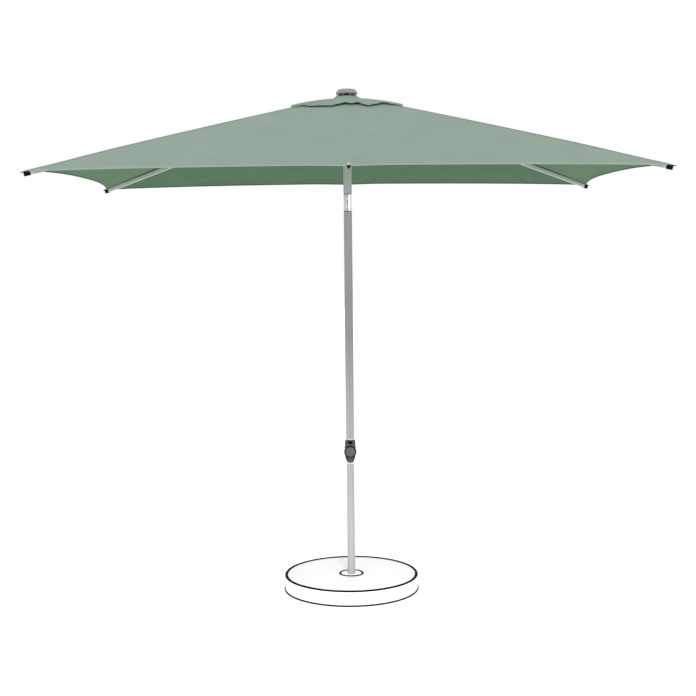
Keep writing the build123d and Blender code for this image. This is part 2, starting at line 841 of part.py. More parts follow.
# =============================== canopy fabric ===============================
def canopy_quarter(sign_x, sign_y, number):
    """One rib's quarter of the canopy: two flat half panels that meet over the rib."""
    inner_x = vent_share * canopy_length / 2
    inner_y = vent_share * canopy_width / 2
    corner_x = fabric_corner_share * canopy_length / 2
    corner_y = fabric_corner_share * canopy_width / 2
    mid_x = canopy_length / 2 - short_hem_inset
    mid_y = canopy_width / 2 - long_hem_inset
    top_share = 0.1
    drop = fabric_thickness / math.cos(pitch)
    with BuildPart() as quarter:
        for low, mode in ((0, Mode.ADD), (drop, Mode.SUBTRACT)):
            with BuildSketch(Plane.XY.offset(apex_z - canopy_fall - low)):
                Rectangle(canopy_length, canopy_width)
            with BuildSketch(Plane.XY.offset(apex_z - top_share * canopy_fall - low)):
                Rectangle(top_share * canopy_length, top_share * canopy_width)
            loft(mode=mode)
        with BuildSketch(Plane.XY.offset(apex_z - canopy_fall - 20)):
            with BuildLine():
                Line((sign_x * inner_x, 0), (sign_x * mid_x, 0))
                ThreePointArc(
                    (sign_x * mid_x, 0),
                    (sign_x * (mid_x + (corner_x - mid_x) / 4), sign_y * corner_y / 2),
                    (sign_x * corner_x, sign_y * corner_y),
                )
                ThreePointArc(
                    (sign_x * corner_x, sign_y * corner_y),
                    (sign_x * corner_x / 2, sign_y * (mid_y + (corner_y - mid_y) / 4)),
                    (0, sign_y * mid_y),
                )
                Line((0, sign_y * mid_y), (0, sign_y * inner_y))
                Line((0, sign_y * inner_y), (sign_x * inner_x, sign_y * inner_y))
                Line((sign_x * inner_x, sign_y * inner_y), (sign_x * inner_x, 0))
            make_face()
        extrude(amount=canopy_fall + 40, mode=Mode.INTERSECT)
    save(quarter, f"canopy_quarter_{number}")


for number, azimuth in enumerate(rib_azimuths, start=1):
    make_rib(azimuth, number)
    make_strut(azimuth, number)
    outward = radial(azimuth)
    canopy_quarter(math.copysign(1, outward.X), math.copysign(1, outward.Y), number)
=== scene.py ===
import json
import math

import bmesh
import bpy
import numpy as np
from mathutils import Matrix, Vector


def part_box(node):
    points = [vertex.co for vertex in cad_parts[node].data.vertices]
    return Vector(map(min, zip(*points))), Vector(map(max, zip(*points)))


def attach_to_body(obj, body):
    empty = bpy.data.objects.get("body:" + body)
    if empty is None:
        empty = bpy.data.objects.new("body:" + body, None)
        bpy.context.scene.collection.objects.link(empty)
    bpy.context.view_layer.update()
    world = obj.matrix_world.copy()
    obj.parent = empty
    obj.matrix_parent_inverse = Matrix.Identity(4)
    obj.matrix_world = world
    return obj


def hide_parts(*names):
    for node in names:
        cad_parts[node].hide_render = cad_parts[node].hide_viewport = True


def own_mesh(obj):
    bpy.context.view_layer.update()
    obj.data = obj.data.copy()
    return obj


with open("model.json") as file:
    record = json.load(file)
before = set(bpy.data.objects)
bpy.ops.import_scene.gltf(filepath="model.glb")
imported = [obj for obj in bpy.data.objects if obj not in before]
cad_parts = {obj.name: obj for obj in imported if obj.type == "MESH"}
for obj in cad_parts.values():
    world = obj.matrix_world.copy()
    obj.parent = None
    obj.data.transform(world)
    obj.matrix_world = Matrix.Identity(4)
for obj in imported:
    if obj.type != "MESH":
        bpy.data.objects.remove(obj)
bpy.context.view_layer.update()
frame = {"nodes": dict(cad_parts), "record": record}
NODES = frame["nodes"]

# ------------------------------------------------------------------ canopy shape, in metres
UP = (0, 0, 1)
HALF_X, HALF_Y = 1.5, 1.0           # rib tips
APEX, FALL = 2.687, 0.4424          # height of the fabric planes' top, and their drop to the tips
RIB_GAP = 0.0038                    # fabric over rib, in the CAD model
LANDING = (0.72, 0.94)              # shares between which the fabric comes down onto the rib
BOW = 0.0065                        # how far the planes crown between apex and tips
CLOTH = 0.0014                      # fabric thickness
HEM = 0.022                         # width of the doubled hem
VENT = 0.10                         # vent opening, as a share of the canopy
CORNER = 0.985                      # where the fabric's corner ends on the rib
SAG_REACH = 0.93                    # share at which the sag is full
SEAM_SPREAD = 0.08                  # how far the mid seam's dip spreads to its sides
# for each kind of panel: the hem's middle as a share, its sag, its seam's dip, its hem's power
SIDES = {"long": (0.9325, 0.0100, 0.004, 2), "short": (0.943, 0.0040, 0.0, 2.5)}
QUADRANTS = {1: (1, 1), 2: (-1, 1), 3: (-1, -1), 4: (1, -1)}


def smooth(t):
    """0 to 1 with a level start and end."""
    return t * t * (3 - 2 * t)


def crown(s, w):
    """Bow of the planes over the ribs, and how the fabric comes down onto the ribs' ends."""
    start, end = LANDING
    near_end = np.clip((s - start) / (end - start), 0, 1)
    return BOW * 4 * s * (1 - s) - RIB_GAP * smooth(near_end) * w ** 8


def cloth_point(side, sx, sy, s, w):
    """Point of the fabric's top: s runs from apex to hem, w from the panel's middle to the rib."""
    _, sag, dip, _ = SIDES[side]
    depth = (s / SAG_REACH) ** 1.5
    if side == "long":
        x, y = sx * HALF_X * s * w, sy * HALF_Y * s
    else:
        x, y = sx * HALF_X * s, sy * HALF_Y * s * w
    z = APEX - FALL * s + crown(s, w) - sag * depth * (1 - w * w) ** 1.2
    z = z - dip * depth * np.exp(-((w / SEAM_SPREAD) ** 2))
    return np.stack([x + 0 * z, y + 0 * z, z], -1)


def hem_share(side, w):
    """Where the hem runs, as a share of the way from apex to tips."""
    middle, _, _, power = SIDES[side]
    return middle + (CORNER - middle) * w ** power


# ------------------------------------------------------------------ mesh helpers
def new_object(name, verts, faces, smooth=True):
    mesh = bpy.data.meshes.new(name)
    mesh.from_pydata([tuple(map(float, v)) for v in verts], [], faces)
    work = bmesh.new()
    work.from_mesh(mesh)
    bmesh.ops.recalc_face_normals(work, faces=work.faces)
    work.to_mesh(mesh)
    work.free()
    for face in mesh.polygons:
        face.use_smooth = smooth
    obj = bpy.data.objects.new(name, mesh)
    bpy.context.scene.collection.objects.link(obj)
    return obj


def cloth_sheet(name, top, thick, uv, top_material, under_material):
    """Closed sheet from a grid of top points, a grid of thicknesses and a grid of UVs."""
    rows, cols = top.shape[:2]
    normal = np.cross(np.gradient(top, axis=1), np.gradient(top, axis=0))
    normal /= np.maximum(np.linalg.norm(normal, axis=2, keepdims=True), 1e-12)
    normal *= np.where(normal[..., 2:] < 0, -1, 1)
    proud = (thick - CLOTH)[..., None] / 2
    upper = top + normal * proud
    lower = top - normal * (CLOTH + proud)
    verts = np.concatenate([upper.reshape(-1, 3), lower.reshape(-1, 3)])
    count = rows * cols
    at = lambda r, c: r * cols + c
    faces = []
    for r in range(rows - 1):
        for c in range(cols - 1):
            faces.append((at(r, c), at(r, c + 1), at(r + 1, c + 1), at(r + 1, c)))
    tops = len(faces)
    faces += [tuple(i + count for i in reversed(f)) for f in faces[:tops]]
    edge = [at(0, c) for c in range(cols)]
    edge += [at(r, cols - 1) for r in range(1, rows)]
    edge += [at(rows - 1, c) for c in range(cols - 2, -1, -1)]
    edge += [at(r, 0) for r in range(rows - 2, 0, -1)]
    for a, b in zip(edge, edge[1:] + edge[:1]):
        faces.append((a, a + count, b + count, b))
    obj = new_object(name, verts, faces)
    flat_uv = uv.reshape(-1, 2)
    layer = obj.data.uv_layers.new(name="cloth")
    for loop in obj.data.loops:
        layer.data[loop.index].uv = flat_uv[loop.vertex_index % count]
    obj.data.materials.append(top_material)
    obj.data.materials.append(under_material)
    for face in obj.data.polygons:
        if tops <= face.index < 2 * tops:
            face.material_index = 1
    obj.data.set_sharp_from_angle(angle=math.radians(60))
    return obj


def sweep(name, path, across, up, section, material, inner=None):
    """Closed band: the section's (a, b) points follow the path on its across and up vectors.

    The inner material goes on the faces that start at a negative a."""
    path, across, up = (np.asarray(v, float) for v in (path, across, up))
    across = np.broadcast_to(across, path.shape)
    up = np.broadcast_to(up, path.shape)
    rings = [path + a * across + b * up for a, b in section]
    verts = np.stack(rings, 1).reshape(-1, 3)
    n, m = len(path), len(section)
    faces = []
    for i in range(n - 1):
        for k in range(m):
            j = (k + 1) % m
            faces.append((i * m + k, i * m + j, (i + 1) * m + j, (i + 1) * m + k))
    faces += [tuple(range(m)), tuple(range((n - 1) * m, n * m))]
    obj = new_object(name, verts, faces)
    obj.data.materials.append(material)
    if inner is not None:
        obj.data.materials.append(inner)
        for face in obj.data.polygons:
            if face.index < (n - 1) * m and section[face.index % m][0] < 0:
                face.material_index = 1
    obj.data.set_sharp_from_angle(angle=math.radians(50))
    layer = obj.data.uv_layers.new(name="cloth")
    run = np.concatenate([[0], np.cumsum(np.linalg.norm(np.diff(path, axis=0), axis=1))])
    for loop in obj.data.loops:
        i, k = divmod(loop.vertex_index, m)
        layer.data[loop.index].uv = (run[i], section[k][0])
    return obj


def revolve(name, profile, material, steps=96):
    """Closed ring from a closed (radius, height) profile about the pole's axis."""
    angles = np.linspace(0, 2 * math.pi, steps, endpoint=False)
    verts = [(r * math.cos(a), r * math.sin(a), z) for a in angles for r, z in profile]
    m = len(profile)
    faces = []
    for i in range(steps):
        for k in range(m):
            j, n = (k + 1) % m, (i + 1) % steps
            faces.append((i * m + k, i * m + j, n * m + j, n * m + k))
    obj = new_object(name, verts, faces)
    obj.data.materials.append(material)
    obj.data.set_sharp_from_angle(angle=math.radians(50))
    return obj


# ------------------------------------------------------------------ materials
KNOB_Z = sum(corner.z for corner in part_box("clamp_knob")) / 2
TILT_Z = sum(corner.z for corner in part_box("tilt_pin")) / 2
COLLAR_LOW, COLLAR_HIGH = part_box("clamp_collar")
WINDOW = (COLLAR_HIGH.z - 0.024, COLLAR_HIGH.z - 0.002)  # heights of the window, painted near-black for the shade in it
DISC_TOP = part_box("finial_base")[1].z - 0.009
KNUCKLE_HALF = 0.043                # from the tilt pin to the knuckle's end grooves, painted dark for their shade
TOP_SHADE_FADE = (1.6, 2.05)              # heights between which a pole takes its top colour, part of the painted light and shade along it
RING_BLUR = 0.0012                  # softness of the rings on the knob's face
THREAD = 0.0011                     # repeat of the fabric's weave
STITCH = 0.004                      # length of a stitch and its gap
STITCH_ROWS = (0.0035, 0.0185)      # rows of stitches, from the hem's edge


class Nodes:
    """A material's node tree with short ways to add nodes and links."""

    def __init__(self, name):
        self.material = bpy.data.materials.new(name)
        self.material.use_nodes = True
        self.tree = self.material.node_tree
        self.shader = self.tree.nodes["Principled BSDF"]

    def add(self, kind, **settings):
        node = self.tree.nodes.new(kind)
        for key, value in settings.items():
            setattr(node, key, value)
        return node

    def wire(self, source, target):
        self.tree.links.new(source, target)

    def math(self, operation, a, b=None, c=None):
        node = self.add("ShaderNodeMath", operation=operation)
        for slot, value in enumerate((a, b, c)):
            if value is None:
                continue
            if hasattr(value, "is_output"):
                self.wire(value, node.inputs[slot])
            else:
                node.inputs[slot].default_value = value
        return node.outputs[0]

    def place(self):
        """The shaded point's x, y and z, in the frame's metres."""
        coords = self.add("ShaderNodeTexCoord")
        split = self.add("ShaderNodeSeparateXYZ")
        self.wire(coords.outputs["Object"], split.inputs["Vector"])
        return [split.outputs[axis] for axis in "XYZ"]

    def noise(self, scale, detail=3.0, stretch=(1, 1, 1)):
        place = self.add("ShaderNodeTexCoord")
        mapping = self.add("ShaderNodeMapping")
        mapping.inputs["Scale"].default_value = stretch
        noise = self.add("ShaderNodeTexNoise")
        noise.inputs["Scale"].default_value = scale
        noise.inputs["Detail"].default_value = detail
        self.wire(place.outputs["Object"], mapping.inputs["Vector"])
        self.wire(mapping.outputs["Vector"], noise.inputs["Vector"])
        return noise.outputs["Fac"]

    def ramp(self, value, low, high, out_low, out_high):
        node = self.add("ShaderNodeMapRange")
        node.inputs["From Min"].default_value = low
        node.inputs["From Max"].default_value = high
        node.inputs["To Min"].default_value = out_low
        node.inputs["To Max"].default_value = out_high
        self.wire(value, node.inputs["Value"])
        return node.outputs["Result"]

    def mix(self, share, one, two):
        node = self.add("ShaderNodeMix", data_type="RGBA")
        self.wire(share, node.inputs["Factor"])
        for key, value in ((6, one), (7, two)):
            if hasattr(value, "is_output"):
                self.wire(value, node.inputs[key])
            else:
                node.inputs[key].default_value = (*value, 1)
        return node.outputs[2]

    def darkened(self, share, tone, factor):
        """The tone, multiplied by the factor as far as the share says."""
        node = self.add("ShaderNodeMix", data_type="RGBA", blend_type="MULTIPLY")
        node.inputs[7].default_value = (factor, factor, factor, 1)
        self.wire(share, node.inputs["Factor"])
        self.wire(tone, node.inputs[6])
        return node.outputs[2]

    def hypot(self, a, b):
        squares = self.math("ADD", self.math("POWER", a, 2.0), self.math("POWER", b, 2.0))
        return self.math("SQRT", squares)

    def bump(self, height, strength, distance):
        node = self.add("ShaderNodeBump")
        node.inputs["Strength"].default_value = strength
        node.inputs["Distance"].default_value = distance
        self.wire(height, node.inputs["Height"])
        self.wire(node.outputs["Normal"], self.shader.inputs["Normal"])

    def colour(self, output):
        self.wire(output, self.shader.inputs["Base Color"])

    def rough(self, output):
        self.wire(output, self.shader.inputs["Roughness"])


def shade(colour, factor):
    return tuple(min(1.0, c * factor) for c in colour)


def solid(name, colour, rough, metallic=0.0, vary=0.08, scale=30.0, grain=900.0, depth=0.00005,
          stretch=(1, 1, 1), coat=0.0, specular=0.5):
    """Moulded, cast or drawn material: uneven colour and roughness, and a fine grain."""
    m = Nodes(name)
    m.shader.inputs["Metallic"].default_value = metallic
    m.shader.inputs["Coat Weight"].default_value = coat
    m.shader.inputs["Specular IOR Level"].default_value = specular
    broad = m.noise(scale, 4.0, stretch)
    m.colour(m.mix(m.ramp(broad, 0.3, 0.7, 0, 1), shade(colour, 1 - vary), shade(colour, 1 + vary)))
    m.rough(m.ramp(broad, 0.3, 0.7, rough * 0.88, min(1.0, rough * 1.12)))
    m.bump(m.noise(grain, 2.0, stretch), 0.4, depth)
    return m


def fabric(name, colour, vary=0.03, rough=0.85, sheen=0.05, specular=0.1):
    """Woven polyester: a plain weave in the UV's metres, mottling, and stitches on the hem."""
    m = Nodes(name)
    m.shader.inputs["Sheen Weight"].default_value = sheen
    m.shader.inputs["Sheen Roughness"].default_value = 0.6
    m.shader.inputs["Specular IOR Level"].default_value = specular
    m.shader.inputs["Roughness"].default_value = rough
    uv = m.add("ShaderNodeUVMap", uv_map="cloth")
    split = m.add("ShaderNodeSeparateXYZ")
    m.wire(uv.outputs["UV"], split.inputs["Vector"])
    u, v = split.outputs["X"], split.outputs["Y"]
    thread = 2 * math.pi / THREAD
    warp = m.math("SINE", m.math("MULTIPLY", u, thread))
    weft = m.math("SINE", m.math("MULTIPLY", v, thread))
    weave = m.math("MULTIPLY_ADD", m.math("MULTIPLY", warp, weft), 0.5, 0.5)
    broad = m.noise(7.0, 4.0)
    slub = m.noise(160.0, 2.0, (1, 1, 1))
    tone = m.mix(m.ramp(broad, 0.3, 0.7, 0, 1), shade(colour, 1 - vary), shade(colour, 1 + vary))
    rough_thread = m.ramp(m.math("MULTIPLY_ADD", weave, 0.6, slub), 0.5, 1.2, 0.0, 0.16)
    tone = m.mix(rough_thread, tone, shade(colour, 0.7))
    dash = m.math("GREATER_THAN", m.math("FRACT", m.math("DIVIDE", u, STITCH)), 0.35)
    rows = None
    for place in STITCH_ROWS:
        near = m.math("LESS_THAN", m.math("ABSOLUTE", m.math("SUBTRACT", v, place)), 0.0006)
        rows = near if rows is None else m.math("MAXIMUM", rows, near)
    stitch = m.math("MULTIPLY", rows, dash)
    m.colour(m.mix(m.math("MULTIPLY", stitch, 0.75), tone, shade(colour, 1.35)))
    height = m.math("MULTIPLY_ADD", stitch, 1.6, weave)
    m.bump(height, 0.35, 0.00012)
    return m


def drawn_tube(name, low, high, z_low, z_high, top=None, rough=0.45):
    """Anodised tube: drawing streaks along the pole, and painted light and shade in a colour that
    changes with height.
    """
    m = Nodes(name)
    m.shader.inputs["Metallic"].default_value = 0.35
    m.shader.inputs["Specular IOR Level"].default_value = 0.2
    z = m.place()[2]
    # painted light and shade: the tone runs from the low colour to the high one with height, then
    # to the top colour
    base = m.mix(m.ramp(z, z_low, z_high, 0, 1), low, high)
    if top is not None:
        base = m.mix(m.ramp(z, *TOP_SHADE_FADE, 0, 1), base, top)
    streak = m.noise(1.0, 3.0, (150, 150, 0.6))
    m.colour(m.darkened(m.ramp(streak, 0.42, 0.66, 0, 1), base, 0.86))
    m.rough(m.ramp(streak, 0.3, 0.7, rough * 0.85, rough * 1.2))
    m.bump(m.noise(1.0, 2.0, (900, 900, 3)), 0.25, 0.00003)
    return m


def knuckle_material(name, bright, shaded_side):
    """Polished knuckle, with painted shade: a darker side, a dark line along the seam between its
    halves, and dark grooves at its ends.
    """
    m = Nodes(name)
    m.shader.inputs["Metallic"].default_value = 1.0
    x, _, z = m.place()
    grain = m.noise(120.0, 3.0)
    # painted shade: the side towards negative x is darker
    side_shade = m.ramp(m.math("MULTIPLY_ADD", grain, 0.004, x), -0.004, 0.006, 0, 1)
    tone = m.mix(side_shade, shaded_side, bright)
    # painted shade in the seam between the halves and in the end grooves
    seam = m.ramp(m.math("ABSOLUTE", x), 0.0016, 0.0030, 1, 0)
    off_pin = m.math("ABSOLUTE", m.math("SUBTRACT", z, TILT_Z))
    ends = m.ramp(off_pin, KNUCKLE_HALF - 0.0005, KNUCKLE_HALF + 0.0010, 0, 1)
    knuckle_gap_shade = m.math("MAXIMUM", m.math("MULTIPLY", seam, 0.85), ends)
    m.colour(m.mix(knuckle_gap_shade, tone, (0.12, 0.12, 0.12)))
    m.rough(m.ramp(grain, 0.3, 0.7, 0.08, 0.18))
    m.bump(m.noise(60.0, 2.0), 0.15, 0.0001)
    return m


def collar_material(name, colour):
    """Moulded collar: worn faces, painted shade on the outer edges and the foot, painted shade
    filling the window over the knob, and a painted highlight on the hood above it.
    """
    m = Nodes(name)
    m.shader.inputs["Specular IOR Level"].default_value = 0.2
    x, y, z = m.place()
    off_middle = m.math("ABSOLUTE", x)
    grain = m.noise(300.0, 3.0)
    tone = m.mix(m.ramp(grain, 0.3, 0.7, 0, 1), shade(colour, 0.85), shade(colour, 1.15))
    half = m.ramp(z, COLLAR_LOW.z, COLLAR_LOW.z + 0.05, 0.0125, 0.0265)
    # painted shade: darker towards the outer edges, and at the foot
    edge = m.ramp(m.math("SUBTRACT", off_middle, half), -0.0065, -0.003, 0, 1)
    foot = m.ramp(z, COLLAR_LOW.z + 0.002, COLLAR_LOW.z + 0.006, 1, 0)
    spread = m.ramp(z, *WINDOW, 0.0135, 0.0085)
    # painted shade: the window over the knob is near-black
    window = m.ramp(m.math("SUBTRACT", off_middle, spread), -0.001, 0.002, 1, 0)
    above_sill = m.math("GREATER_THAN", z, WINDOW[0])
    below_lintel = m.math("LESS_THAN", z, WINDOW[1])
    window = m.math("MULTIPLY", window, m.math("MULTIPLY", above_sill, below_lintel))
    window = m.math("MULTIPLY", window, m.math("LESS_THAN", y, -0.015))
    # painted highlight: the front of the hood above the knob is lighter
    hood_highlight = m.ramp(y, -0.0455, -0.0435, 1, 0)
    hood_highlight = m.math("MULTIPLY", hood_highlight, m.math("GREATER_THAN", z, KNOB_Z))
    window = m.math("MULTIPLY", window, m.math("SUBTRACT", 1.0, hood_highlight))
    tone = m.mix(m.math("MAXIMUM", edge, foot), tone, shade(colour, 0.3))
    tone = m.mix(hood_highlight, tone, shade(colour, 2.6))
    m.colour(m.mix(window, tone, (0.004, 0.004, 0.004)))
    m.rough(m.ramp(grain, 0.3, 0.7, 0.55, 0.7))
    m.bump(grain, 0.3, 0.0001)
    return m


def finial_material(name, colour):
    """Vented finial foot: light posts, and painted shade making the gap near-black."""
    m = Nodes(name)
    m.shader.inputs["Specular IOR Level"].default_value = 0.2
    x, y, z = m.place()
    outside = m.ramp(m.hypot(x, y), 0.040, 0.042, 0, 1)
    post = m.math("MULTIPLY", outside, m.ramp(z, DISC_TOP - 0.0002, DISC_TOP + 0.0008, 0, 1))
    grain = m.noise(300.0, 3.0)
    # painted shade: near-black inside the posts' ring and below the disc's top, for the shade in
    # the vents
    dark = m.mix(m.ramp(grain, 0.3, 0.7, 0, 1), (0.006, 0.006, 0.006), (0.012, 0.012, 0.012))
    m.colour(m.mix(post, dark, colour))
    m.rough(m.ramp(grain, 0.3, 0.7, 0.55, 0.7))
    m.bump(grain, 0.3, 0.0001)
    return m


def knob_material(name, centre_z, rings):
    """Moulded knob: a flat face, a lighter ring round it, and painted shade darkening its grip
    edge.
    """
    m = Nodes(name)
    m.shader.inputs["Specular IOR Level"].default_value = 0.2
    x, _, z = m.place()
    radius = m.hypot(x, m.math("SUBTRACT", z, centre_z))
    tone = rings[0][1]
    for edge, colour in rings[1:]:
        tone = m.mix(m.ramp(radius, edge - RING_BLUR, edge + RING_BLUR, 0, 1), tone, colour)
    grain = m.noise(500.0, 3.0)
    m.colour(m.darkened(m.ramp(grain, 0.35, 0.65, 0, 1), tone, 0.8))
    m.rough(m.ramp(grain, 0.3, 0.7, 0.42, 0.58))
    m.bump(grain, 0.3, 0.0001)
    return m


CANOPY = (0.258, 0.337, 0.279)
# painted shade: the undersides are far darker than the top, standing for the shade under the canopy
UNDER = (0.090, 0.160, 0.100)
UNDER_SIDE = (0.112, 0.184, 0.118)
top_cloth = fabric("canopy_top", CANOPY).material
# painted light: the short panels' undersides are lighter than the long ones', for the light through
# them
under_cloth = {
    side: fabric(name, colour, vary=0.05, sheen=0.02, specular=0.0).material
    for side, name, colour in (("long", "canopy_under", UNDER),
                               ("short", "canopy_under_side", UNDER_SIDE))}
# painted highlight: the hem binding is a little lighter than the canopy, for the light its upright
# edge catches
hem_cloth = fabric("canopy_hem", shade(CANOPY, 1.06)).material
# painted shade: the hem's inner faces take the underside's colour, darker still, for the shade
# inside the binding
hem_inner = fabric("canopy_hem_inner", shade(UNDER, 0.55)).material
seam_cloth = fabric("canopy_seam", shade(CANOPY, 0.98)).material
ridge_cloth = fabric("canopy_ridge", shade(CANOPY, 0.8)).material
vent_cloth = fabric("vent_top", (0.235, 0.335, 0.255), vary=0.08).material
webbing = fabric("webbing", (0.005, 0.006, 0.005), vary=0.2, sheen=0.0, specular=0.0)
webbing = webbing.material

# ------------------------------------------------------------------ canopy
ROWS, COLS = 44, 56
covers = {n: [] for n in QUADRANTS}  # the half panels of each quadrant


def attach(obj, number, joint=True):
    """Fabric rides on its rib and, unless it lies on the rib, gets a mesh of its own."""
    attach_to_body(obj, f"rib_arm_{number}")
    if joint:
        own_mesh(obj)


def half_panel(side, number):
    """One half of a roof panel, from its middle seam to the rib, with hem binding."""
    sx, sy = QUADRANTS[number]
    w = 1 - (1 - np.linspace(0, 1, COLS)) ** 1.15
    w = np.linspace(0, 1, COLS) * 0.5 + w * 0.5
    hem = hem_share(side, w)
    reach = HALF_Y if side == "long" else HALF_X
    band = HEM / reach
    inner = np.linspace(0, 1, ROWS)[:, None]
    body = VENT + (hem - band - VENT)[None, :] * inner
    s = np.concatenate([body, (hem - band * 0.96)[None], (hem - band * 0.5)[None], hem[None]])
    grid = cloth_point(side, sx, sy, s, np.broadcast_to(w, s.shape))
    thick = np.full(s.shape, CLOTH)
    thick[-3:] = CLOTH + 0.0010
    run = (HALF_X if side == "long" else HALF_Y) * s * w
    uv = np.stack([run, (hem - s) * reach], -1)
    panel = cloth_sheet(f"cloth_{side}_{number}", grid, thick, uv, top_cloth, under_cloth[side])
    attach(panel, number)
    edge = grid[-1]
    along = np.gradient(edge, axis=0)
    out = np.stack([along[:, 1], -along[:, 0], 0 * along[:, 0]], -1)
    out /= np.linalg.norm(out, axis=1, keepdims=True)
    out *= np.sign((out * edge * [1, 1, 0]).sum(1, keepdims=True))
    section = [(0.0014, 0.0010), (0.0020, 0.0003), (0.0020, -0.0050), (0.0012, -0.0060),
               (-0.0014, -0.0060), (-0.0020, -0.0050), (-0.0020, 0.0003), (-0.0015, 0.0010)]
    binding = sweep(f"hem_{side}_{number}", edge, out, UP, section, hem_cloth, hem_inner)
    attach(binding, number)
    covers[number].append(panel)


def mid_seam(side, number):
    """Flat-felled seam down the middle of a panel."""
    sx, sy = QUADRANTS[number]
    s = np.linspace(VENT, float(hem_share(side, 0.0)), 30)
    line = cloth_point(side, sx, sy, s, 0 * s)
    across = (1, 0, 0) if side == "long" else (0, 1, 0)
    section = [(-0.006, 0.0001), (-0.005, 0.0005), (0.005, 0.0005), (0.006, 0.0001), (0.0, -0.0004)]
    seam = sweep(f"mid_seam_{side}_{number}", line, across, UP, section, seam_cloth)
    attach(seam, number)


LONG_DROP, SHORT_DROP = 0.368, 0.164     # slopes of the panels, across a rib


def ridge_seam(number):
    """Taped seam over a rib, and the strap that holds the fabric's corner on the rib's end."""
    sx, sy = QUADRANTS[number]
    s = np.linspace(VENT, CORNER - 0.012, 40)
    line = cloth_point("long", sx, sy, s, 0 * s + 1)
    across = Vector((-sy * HALF_Y, sx * HALF_X, 0)).normalized()
    across = -across if across.y * sy < 0 else across      # towards the long side

    def roof(half_width, lift):
        """Three points across the ridge, which falls more steeply on the long side."""
        return [(-half_width, lift - half_width * SHORT_DROP), (0, lift),
                (half_width, lift - half_width * LONG_DROP)]

    section = roof(0.009, 0.0011) + roof(0.009, -0.0006)[::-1]
    across = tuple(across)
    tape = sweep(f"ridge_seam_{number}", line, across, UP, section, ridge_cloth)
    attach(tape, number, joint=False)
    s = np.linspace(0.945, 0.990, 12)
    line = cloth_point("long", sx, sy, s, 0 * s + 1) + [0, 0, 0.0006]
    section = roof(0.0085, 0.0012) + roof(0.0085, -0.0012)[::-1]
    strap = sweep(f"corner_strap_{number}", line, across, UP, section, seam_cloth)
    attach(strap, number, joint=False)


TAB_OUTLINE = [(-0.0095, 0.003), (0.0095, 0.003), (0.009, -0.001), (0.002, -0.0125),
               (0.0, -0.0135), (-0.002, -0.0125), (-0.009, -0.001)]


def hem_tab(number):
    """Small black webbing tab under the middle of a long hem, and an eyelet in the hem over it."""
    sx, sy = QUADRANTS[number]
    share = np.array([float(hem_share("long", 0.0))])
    middle = cloth_point("long", sx, sy, share, np.array([0.0]))[0]
    outline = TAB_OUTLINE
    verts = []
    for depth in (-0.0011, 0.0011):
        y = middle[1] + sy * (0.0032 + depth)
        verts += [(a, y, middle[2] - 0.006 + b) for a, b in outline]
    n = len(outline)
    faces = [tuple(range(n)), tuple(range(n, 2 * n))]
    faces += [(k, (k + 1) % n, n + (k + 1) % n, n + k) for k in range(n)]
    tab = new_object(f"hem_tab_{number}", verts, faces, smooth=False)
    bevel = tab.modifiers.new("soft", "BEVEL")
    bevel.width = 0.0006
    bevel.segments = 2
    layer = tab.data.uv_layers.new(name="cloth")
    for loop in tab.data.loops:
        co = tab.data.vertices[loop.vertex_index].co
        layer.data[loop.index].uv = (co.x, co.z)
    tab.data.materials.append(webbing)
    attach(tab, number)
    bpy.ops.mesh.primitive_torus_add(
        major_radius=0.0048, minor_radius=0.0016, major_segments=40, minor_segments=12,
        location=(0, middle[1] - sy * 0.011, middle[2] + 0.0062),
        rotation=(-sy * math.atan(FALL / HALF_Y), 0, 0))
    eyelet = bpy.context.active_object
    eyelet.name = f"tab_eyelet_{number}"
    eyelet.data.transform(eyelet.matrix_world)
    eyelet.matrix_world = Matrix.Identity(4)
    for face in eyelet.data.polygons:
        face.use_smooth = True
    eyelet.data.materials.append(FINISH["bush_light"].material)
    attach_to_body(eyelet, f"rib_arm_{number}")
    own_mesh(eyelet)


# ------------------------------------------------------------------ vent flap
FLAP_X, FLAP_Y, FLAP_Z = 0.290, 0.195, 2.6175   # rim of the flap
NECK, NECK_Z = 0.087, 2.6652                    # where it leaves its neck
FOLD_SHARE = 0.7                    # of the listed heights of the folds
RUN_UP, LIFT_OFF = 2.0, 0.25        # how far a fold draws the hem in, and lifts it
BULGE = 0.006                       # of the flap between neck and hem
VALANCE, CORNER_VALANCE = 0.0035, 0.0085        # turned-down hem, and its extra depth at a corner
# folds of the hems: distance from the middle seam in metres, and height in millimetres
NEAR_FOLDS = [(-0.290, -1), (-0.262, 3), (-0.227, 10), (-0.188, 0), (-0.140, 2), (-0.080, 1),
              (-0.045, 13), (-0.009, 25), (0.026, 17), (0.055, 26), (0.085, 9), (0.113, 0),
              (0.150, 12), (0.190, 24), (0.240, 12), (0.290, 0)]
FAR_FOLDS = [(-0.290, 0), (-0.230, 8), (-0.170, 16), (-0.120, 2), (-0.060, 5), (0.0, 20),
             (0.050, 8), (0.100, 1), (0.160, 14), (0.220, 5), (0.290, 0)]
SIDE_FOLDS = [(-0.195, 0), (-0.130, 9), (-0.080, 1), (-0.020, 12), (0.050, 2), (0.120, 11),
              (0.195, 0)]


def lifted(folds, place):
    """Height between the given folds, with a level tangent at each."""
    xs, zs = np.array(folds, float).T
    i = np.clip(np.searchsorted(xs, place) - 1, 0, len(xs) - 2)
    t = np.clip((place - xs[i]) / (xs[i + 1] - xs[i]), 0, 1)
    return (zs[i] + (zs[i + 1] - zs[i]) * smooth(t)) / 1000


